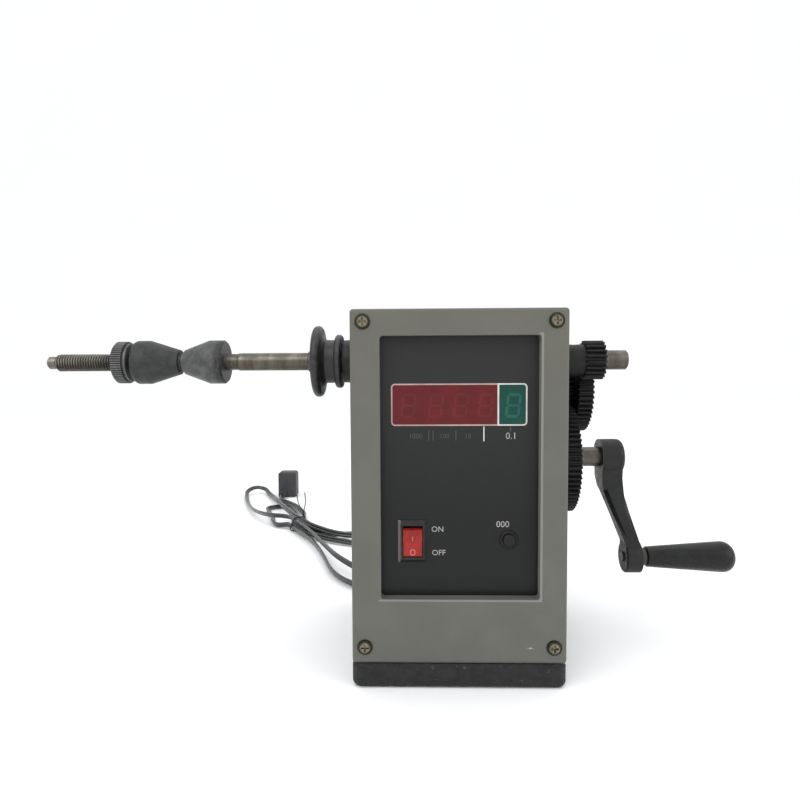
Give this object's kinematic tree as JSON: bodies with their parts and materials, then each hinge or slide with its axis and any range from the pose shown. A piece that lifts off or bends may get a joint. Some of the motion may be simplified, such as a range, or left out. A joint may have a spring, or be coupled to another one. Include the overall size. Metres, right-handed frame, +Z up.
{
  "type": "coil winding machine",
  "caption": "Bench coil winder: a side crank drives a geared spindle with centring cones and a knurled nut; the front panel counts the turns.",
  "frame": {"origin": "centre of the base's four bench bolt holes, on the face that meets the bench", "axes": "+X along the spindle towards the crank, +Y from the front panel to the back, +Z up"},
  "size_m": [0.4153, 0.5016, 0.1945],
  "materials": {
    "black_paint": "satin",
    "grey_paint": "satin",
    "black_panel": "satin",
    "red_window": "gloss",
    "green_window": "gloss",
    "numeral_block": "matte",
    "board": "satin",
    "nylon": "satin",
    "black_plastic": "satin",
    "red_plastic": "gloss",
    "laminations": "satin",
    "bobbin": "satin",
    "bronze": "satin",
    "ground_steel": "satin",
    "turned_steel": "polished",
    "machined_steel": "satin",
    "zinc_screw": "satin",
    "black_oxide": "satin",
    "cast_arm": "satin",
    "grip_plastic": "gloss",
    "cord_rubber": "satin",
    "plug_rubber": "matte",
    "pin_brass": "satin",
    "tie_wire": "satin"
  },
  "bodies": {
    "frame": {"base_casting": "black_paint", "frame_screws": "zinc_screw", "frame_casting": "black_paint", "spindle_bushes": "bronze", "crank_bushes": "bronze", "front_cover": "grey_paint", "rear_cover": "grey_paint", "front_cover_screws": "zinc_screw", "rear_cover_screws": "zinc_screw", "control_panel": "black_panel", "counter_window": "red_window", "preset_window": "green_window", "counter_digits": "numeral_block", "preset_digit": "numeral_block", "counter_board": "board", "board_spacers": "nylon", "switch_body": "black_plastic", "button_body": "black_plastic", "transformer_core": "laminations", "transformer_coil": "bobbin", "sensor_bracket": "ground_steel", "count_sensor": "black_plastic", "idler_stud": "ground_steel", "idler_ring": "ground_steel", "cord_gland": "black_plastic", "cord_lead": "cord_rubber", "cord_hank": "cord_rubber", "plug_lead": "cord_rubber", "hank_tie": "tie_wire", "plug_body": "plug_rubber", "plug_pins": "pin_brass"},
    "crank": {"crank_shaft": "ground_steel", "crank_gear": "machined_steel", "crank_arm": "cast_arm", "crank_grub_screw": "black_oxide", "grip_pin": "machined_steel"},
    "grip": {"grip": "grip_plastic"},
    "idler": {"idler_gear": "machined_steel", "idler_bush": "bronze"},
    "spindle": {"spindle": "ground_steel", "inner_cone": "turned_steel", "hand_wheel": "turned_steel", "spindle_collars": "ground_steel", "count_disc": "black_oxide", "spindle_grub_screws": "black_oxide", "spindle_pinion": "machined_steel"},
    "clamp_nut": {"clamp_nut": "turned_steel"},
    "outer_cone": {"outer_cone": "turned_steel"},
    "rocker": {"switch_rocker": "red_plastic"},
    "reset_button": {"reset_button": "black_plastic"}
  },
  "joints": [
    {"name": "crank_turn", "type": "hinge", "parent": "frame", "child": "crank", "pos_m": [0.07, 0.01, 0.10966], "axis": [1, 0, 0], "continuous": true},
    {"name": "grip_spin", "type": "hinge", "parent": "crank", "child": "grip", "pos_m": [0.145, 0.01, 0.04736], "axis": [1, 0, 0], "continuous": true},
    {"name": "idler_turn", "type": "hinge", "parent": "frame", "child": "idler", "pos_m": [0.072, 0.01402, 0.15147], "axis": [1, 0, 0], "continuous": true},
    {"name": "spindle_turn", "type": "hinge", "parent": "frame", "child": "spindle", "pos_m": [0, -0.0165, 0.1686], "axis": [1, 0, 0], "continuous": true},
    {"name": "nut_slide", "type": "slide", "parent": "spindle", "child": "clamp_nut", "axis": [1, 0, 0], "range_m": [-0.033, 0]},
    {"name": "cone_slide", "type": "slide", "parent": "clamp_nut", "child": "outer_cone", "axis": [1, 0, 0], "range_m": [-0.0025, 0]},
    {"name": "rocker_tilt", "type": "hinge", "parent": "frame", "child": "rocker", "pos_m": [-0.0237, -0.0516, 0.0752], "axis": [-1, 0, 0], "range_deg": [0, 18]},
    {"name": "reset_press", "type": "slide", "parent": "frame", "child": "reset_button", "axis": [0, 1, 0], "range_m": [0, 0.0022], "stiffness_N_per_m": 300, "springref_m": -0.0005}
  ],
  "couplings": [
    {"joint": "idler_turn", "follows": "crank_turn", "ratio": -3.2},
    {"joint": "spindle_turn", "follows": "crank_turn", "ratio": 8}
  ]
}
